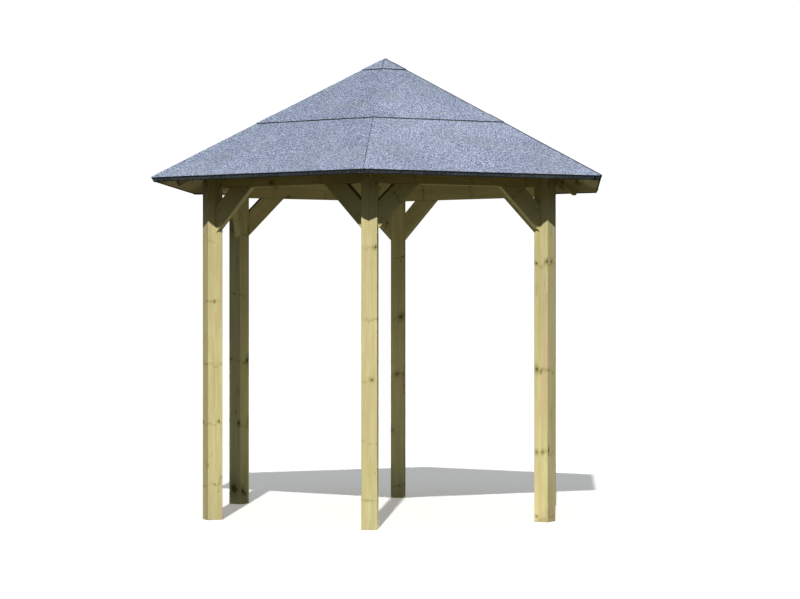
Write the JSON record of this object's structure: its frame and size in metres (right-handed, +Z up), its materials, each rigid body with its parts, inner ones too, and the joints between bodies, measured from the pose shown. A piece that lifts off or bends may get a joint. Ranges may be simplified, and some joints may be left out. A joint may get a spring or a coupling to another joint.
{
  "type": "garden gazebo",
  "caption": "Open garden gazebo of treated softwood on square posts, with braced ring beams and a felted pyramid roof on hip rafters.",
  "frame": {"origin": "on the ground under the peak of the roof", "axes": "+Z up; -Y towards the front post; +X towards the right-hand open side, square to it"},
  "size_m": [3.3164, 3.8278, 3.5083],
  "materials": {
    "frame_timber": "planed softwood, green pressure treatment gone straw-coloured",
    "roof_boards": "planed tongued and grooved softwood boards",
    "roofing_felt": "bitumen felt with blue-grey mineral granules"
  },
  "bodies": {
    "root": {"front_post": "frame_timber", "front_right_post": "frame_timber", "back_right_post": "frame_timber", "back_post": "frame_timber", "back_left_post": "frame_timber", "front_left_post": "frame_timber", "front_right_beam": "frame_timber", "right_beam": "frame_timber", "back_right_beam": "frame_timber", "back_left_beam": "frame_timber", "left_beam": "frame_timber", "front_left_beam": "frame_timber", "front_post_left_brace": "frame_timber", "front_right_post_left_brace": "frame_timber", "back_right_post_left_brace": "frame_timber", "back_post_left_brace": "frame_timber", "back_left_post_left_brace": "frame_timber", "front_left_post_left_brace": "frame_timber", "front_post_right_brace": "frame_timber", "front_right_post_right_brace": "frame_timber", "back_right_post_right_brace": "frame_timber", "back_post_right_brace": "frame_timber", "back_left_post_right_brace": "frame_timber", "front_left_post_right_brace": "frame_timber", "front_hip_rafter": "frame_timber", "front_right_hip_rafter": "frame_timber", "back_right_hip_rafter": "frame_timber", "back_hip_rafter": "frame_timber", "back_left_hip_rafter": "frame_timber", "front_left_hip_rafter": "frame_timber", "king_post": "frame_timber", "front_right_roof_boards": "roof_boards", "right_roof_boards": "roof_boards", "back_right_roof_boards": "roof_boards", "back_left_roof_boards": "roof_boards", "left_roof_boards": "roof_boards", "front_left_roof_boards": "roof_boards", "felt_lower_course": "roofing_felt", "felt_upper_course": "roofing_felt", "felt_cap": "roofing_felt"}
  },
  "joints": []
}
